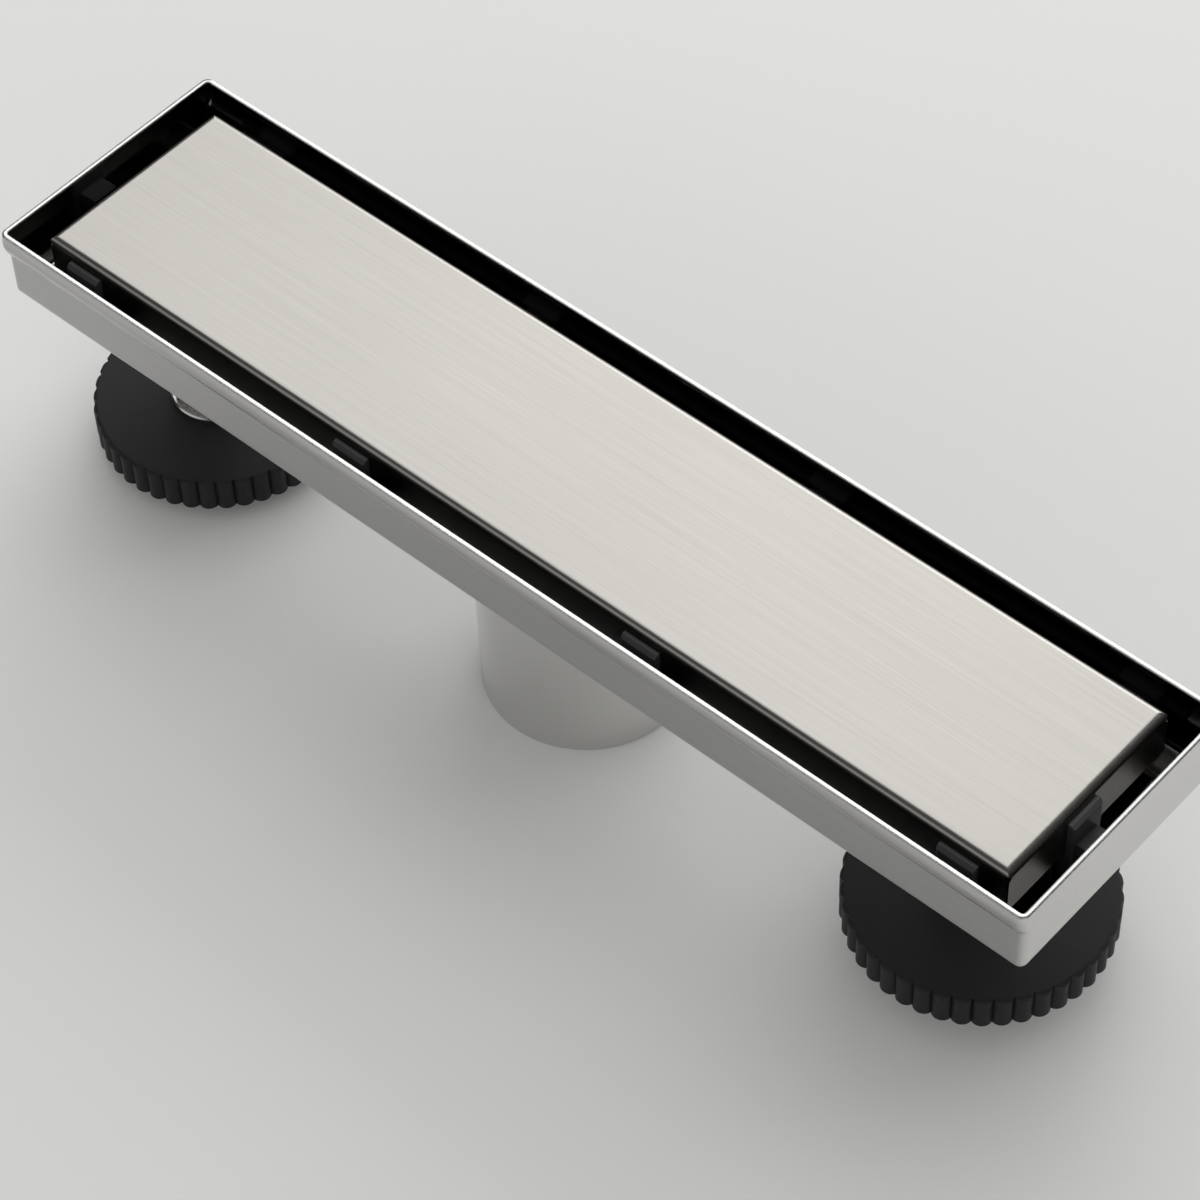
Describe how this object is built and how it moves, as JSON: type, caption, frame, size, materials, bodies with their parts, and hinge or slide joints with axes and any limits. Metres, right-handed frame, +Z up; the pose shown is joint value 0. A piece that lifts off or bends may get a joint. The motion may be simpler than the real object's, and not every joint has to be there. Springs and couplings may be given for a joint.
{
  "type": "linear shower drain",
  "caption": "Short stainless linear shower drain: a plain brushed cover in a rimmed channel, on a round outlet with levelling feet.",
  "frame": {"origin": "middle of the outlet pipe's lower end, on the surface that the drain stands on", "axes": "+X along the channel, +Y across it, +Z up towards the cover"},
  "size_m": [0.305, 0.071, 0.0747],
  "materials": {
    "channel_steel": "satin stainless",
    "pipe_steel": "plain stainless tube",
    "cover_steel": "stainless brushed along its length",
    "strainer_steel": "plain stainless sheet",
    "clip_plastic": "moulded, dark grey",
    "foot_plastic": "moulded, black",
    "socket_steel": "turned stainless",
    "stud_steel": "bright rolled thread",
    "washer_steel": "bright pressed",
    "nut_steel": "bright"
  },
  "bodies": {
    "channel": {"channel_body": "channel_steel", "outlet_pipe": "pipe_steel", "cover_tray": "cover_steel", "hair_strainer": "strainer_steel", "clip_near_1": "clip_plastic", "clip_near_2": "clip_plastic", "clip_near_3": "clip_plastic", "clip_near_4": "clip_plastic", "clip_far_1": "clip_plastic", "clip_far_2": "clip_plastic", "clip_far_3": "clip_plastic", "clip_far_4": "clip_plastic", "clip_left": "clip_plastic", "clip_right": "clip_plastic", "socket_left": "socket_steel", "socket_right": "socket_steel"},
    "washer_left": {"washer_left": "washer_steel"},
    "foot_left": {"foot_left": "foot_plastic", "stud_left": "stud_steel", "lock_nut_left": "nut_steel"},
    "washer_right": {"washer_right": "washer_steel"},
    "foot_right": {"foot_right": "foot_plastic", "stud_right": "stud_steel", "lock_nut_right": "nut_steel"}
  },
  "joints": [
    {"name": "foot_left_height", "type": "slide", "parent": "channel", "child": "washer_left", "axis": [0, 0, 1], "range_m": [-0.00438, 0.01006]},
    {"name": "foot_left_turn", "type": "hinge", "parent": "washer_left", "child": "foot_left", "pos_m": [-0.121, -0.0015, 0.02], "axis": [0, 0, 1], "range_deg": [-901, 2071]},
    {"name": "foot_right_height", "type": "slide", "parent": "channel", "child": "washer_right", "axis": [0, 0, 1], "range_m": [-0.01094, 0.0035]},
    {"name": "foot_right_turn", "type": "hinge", "parent": "washer_right", "child": "foot_right", "pos_m": [0.1187, -0.0015, 0.02], "axis": [0, 0, 1], "range_deg": [-2251, 721]}
  ],
  "couplings": [
    {"joint": "foot_left_turn", "follows": "foot_left_height", "rad_per_m": 3590.4},
    {"joint": "foot_right_turn", "follows": "foot_right_height", "rad_per_m": 3590.4}
  ]
}
